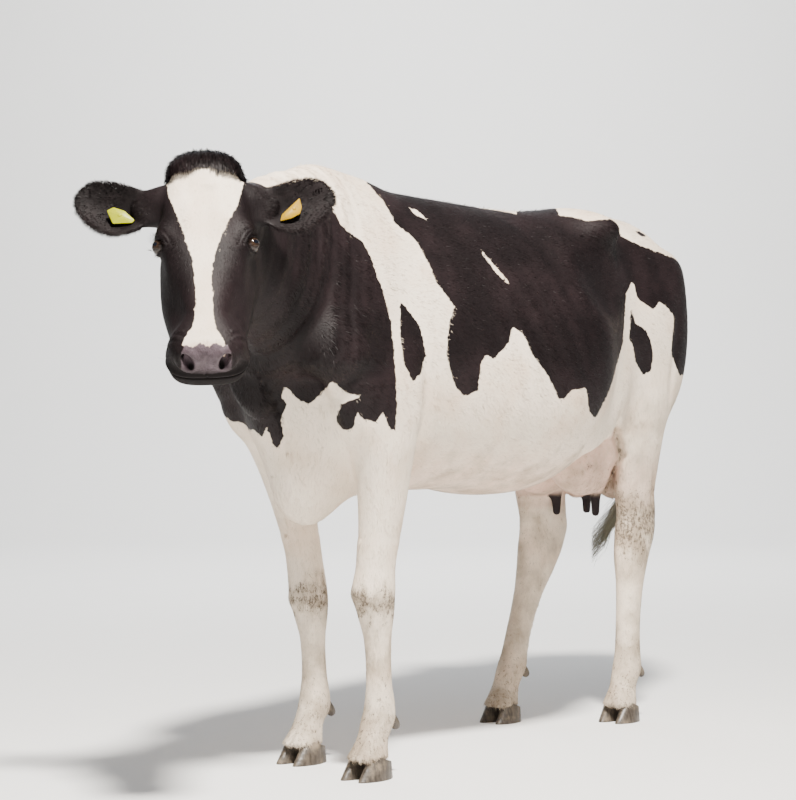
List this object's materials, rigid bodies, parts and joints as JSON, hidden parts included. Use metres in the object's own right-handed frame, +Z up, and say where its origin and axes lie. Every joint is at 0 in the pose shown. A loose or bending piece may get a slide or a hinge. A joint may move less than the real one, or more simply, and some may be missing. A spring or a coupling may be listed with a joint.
{
  "type": "cow",
  "caption": "Life-size standing black-and-white dairy cow with its head turned towards the viewer, udder, cloven hooves, hanging tail and a bare yellow tag in each ear.",
  "frame": {"origin": "middle of the whole animal's outline seen from above, on the floor under its hooves", "axes": "+Z up, -Y the way the body faces, +X to the animal's own left; the head is turned towards +X"},
  "size_m": [0.7242, 2.3373, 1.4563],
  "materials": {
    "coat": "short glossy hair, black and cream patches",
    "nose": "moist bare skin",
    "eye": "wet",
    "udder": "thin hair over pink skin",
    "teat": "bare dark skin",
    "claw": "worn horn with dried mud",
    "tag": "soft plastic"
  },
  "bodies": {
    "root": {"trunk": "coat", "neck": "coat", "head": "coat", "muzzle": "nose", "eye_left": "eye", "ear_left": "coat", "tag_left": "tag", "eye_right": "eye", "ear_right": "coat", "tag_right": "tag", "udder": "udder", "teat_fore_left": "teat", "leg_fore_left_upper": "coat", "leg_fore_left_lower": "coat", "claw_fore_left_inner": "claw", "dewclaw_fore_left_inner": "claw", "claw_fore_left_outer": "claw", "dewclaw_fore_left_outer": "claw", "teat_fore_right": "teat", "leg_fore_right_upper": "coat", "leg_fore_right_lower": "coat", "claw_fore_right_inner": "claw", "dewclaw_fore_right_inner": "claw", "claw_fore_right_outer": "claw", "dewclaw_fore_right_outer": "claw", "teat_hind_left": "teat", "leg_hind_left_upper": "coat", "leg_hind_left_lower": "coat", "claw_hind_left_inner": "claw", "dewclaw_hind_left_inner": "claw", "claw_hind_left_outer": "claw", "dewclaw_hind_left_outer": "claw", "teat_hind_right": "teat", "leg_hind_right_upper": "coat", "leg_hind_right_lower": "coat", "claw_hind_right_inner": "claw", "dewclaw_hind_right_inner": "claw", "claw_hind_right_outer": "claw", "dewclaw_hind_right_outer": "claw", "tail_base": "coat", "tail_middle": "coat", "tail_switch": "coat"}
  },
  "joints": []
}
